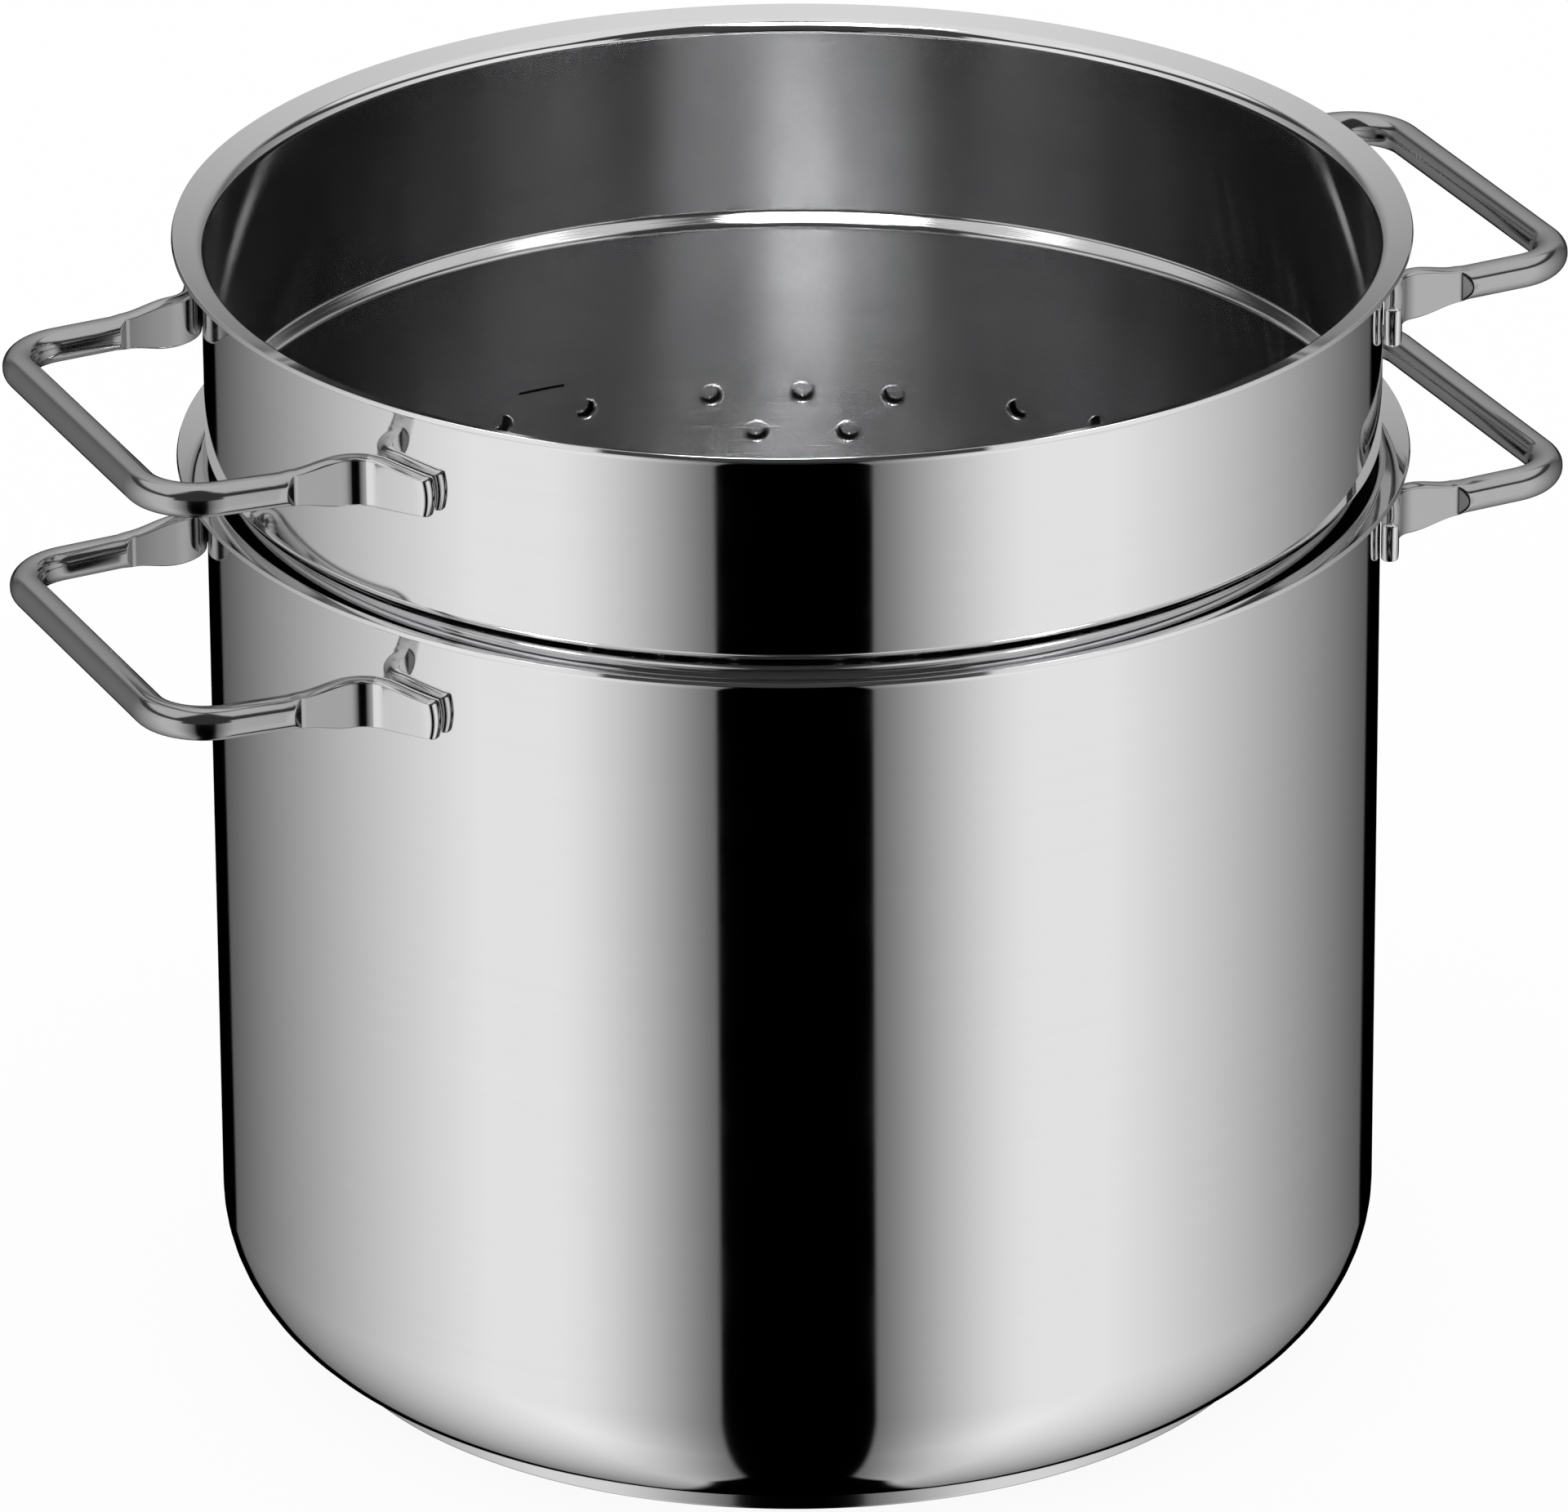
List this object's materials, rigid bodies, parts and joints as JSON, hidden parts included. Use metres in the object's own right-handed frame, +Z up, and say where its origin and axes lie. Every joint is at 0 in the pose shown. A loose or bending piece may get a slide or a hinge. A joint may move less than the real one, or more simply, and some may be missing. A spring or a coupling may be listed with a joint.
{
  "type": "stovetop steamer",
  "caption": "Tall polished steel pot with a sandwich base and flared rim, and a deep perforated lift-out insert, each with a pair of welded rod handles.",
  "frame": {"origin": "middle of the underside of the base, on the surface that the pot stands on", "axes": "+Z up along the axis of the pot, +X towards one of the pot's handles"},
  "size_m": [0.3198, 0.254, 0.243],
  "materials": {
    "polished_steel": "mirror polished outside with very fine lines around it, satin inside",
    "insert_steel": "mirror polished outside, satin brushed around the inside",
    "handle_steel": "mirror polished",
    "base_steel": "satin, turned in fine rings",
    "base_aluminium": "plain"
  },
  "bodies": {
    "pot": {"pot_shell": "polished_steel", "base_core": "base_aluminium", "base_cap": "base_steel", "pot_handle_right": "handle_steel", "pot_handle_left": "handle_steel"},
    "insert": {"insert_shell": "insert_steel", "insert_handle_right": "handle_steel", "insert_handle_left": "handle_steel"}
  },
  "joints": [
    {"name": "insert_lift", "type": "slide", "parent": "pot", "child": "insert", "axis": [0, 0, 1], "range_m": [0, 0.2]}
  ]
}
